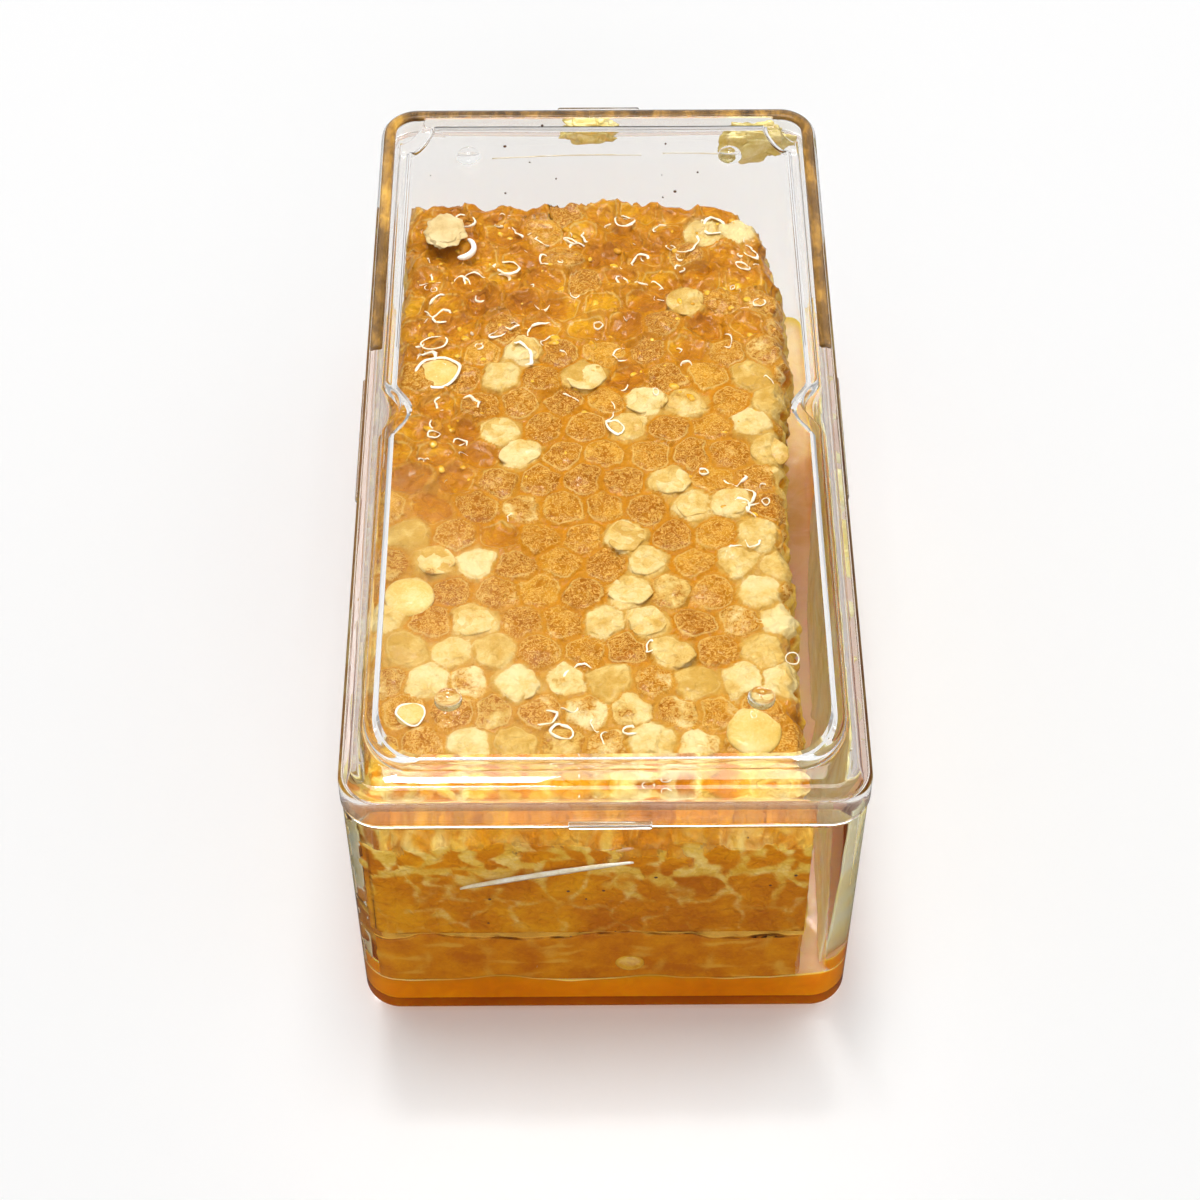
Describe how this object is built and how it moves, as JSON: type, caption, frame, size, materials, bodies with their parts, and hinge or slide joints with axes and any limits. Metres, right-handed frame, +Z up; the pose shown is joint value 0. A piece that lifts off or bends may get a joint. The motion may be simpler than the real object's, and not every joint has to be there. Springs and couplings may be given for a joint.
{
  "type": "honeycomb piece",
  "caption": "Cut piece of capped honeycomb standing in its run-off honey, in a clear lidded rectangular box.",
  "frame": {"origin": "middle of the underside of the box", "axes": "+Z up, +Y towards the back of the box along its length, +X to the right"},
  "size_m": [0.0616, 0.1214, 0.0465],
  "materials": {
    "tray_plastic": "clear moulded plastic, polished",
    "lid_plastic": "clear moulded plastic, polished",
    "comb_wax": "honey-soaked beeswax cells with paler waxed-over cells",
    "midrib_wax": "thin wet beeswax sheet",
    "honey": "clear amber honey",
    "loose_wax": "pale torn beeswax"
  },
  "bodies": {
    "root": {"tray": "tray_plastic", "lid": "lid_plastic", "comb_upper": "comb_wax", "comb_midrib": "midrib_wax", "comb_lower": "comb_wax", "honey_pool": "honey", "wax_scrap_centre": "loose_wax", "wax_scrap_corner": "loose_wax", "wax_flake": "loose_wax"}
  },
  "joints": []
}
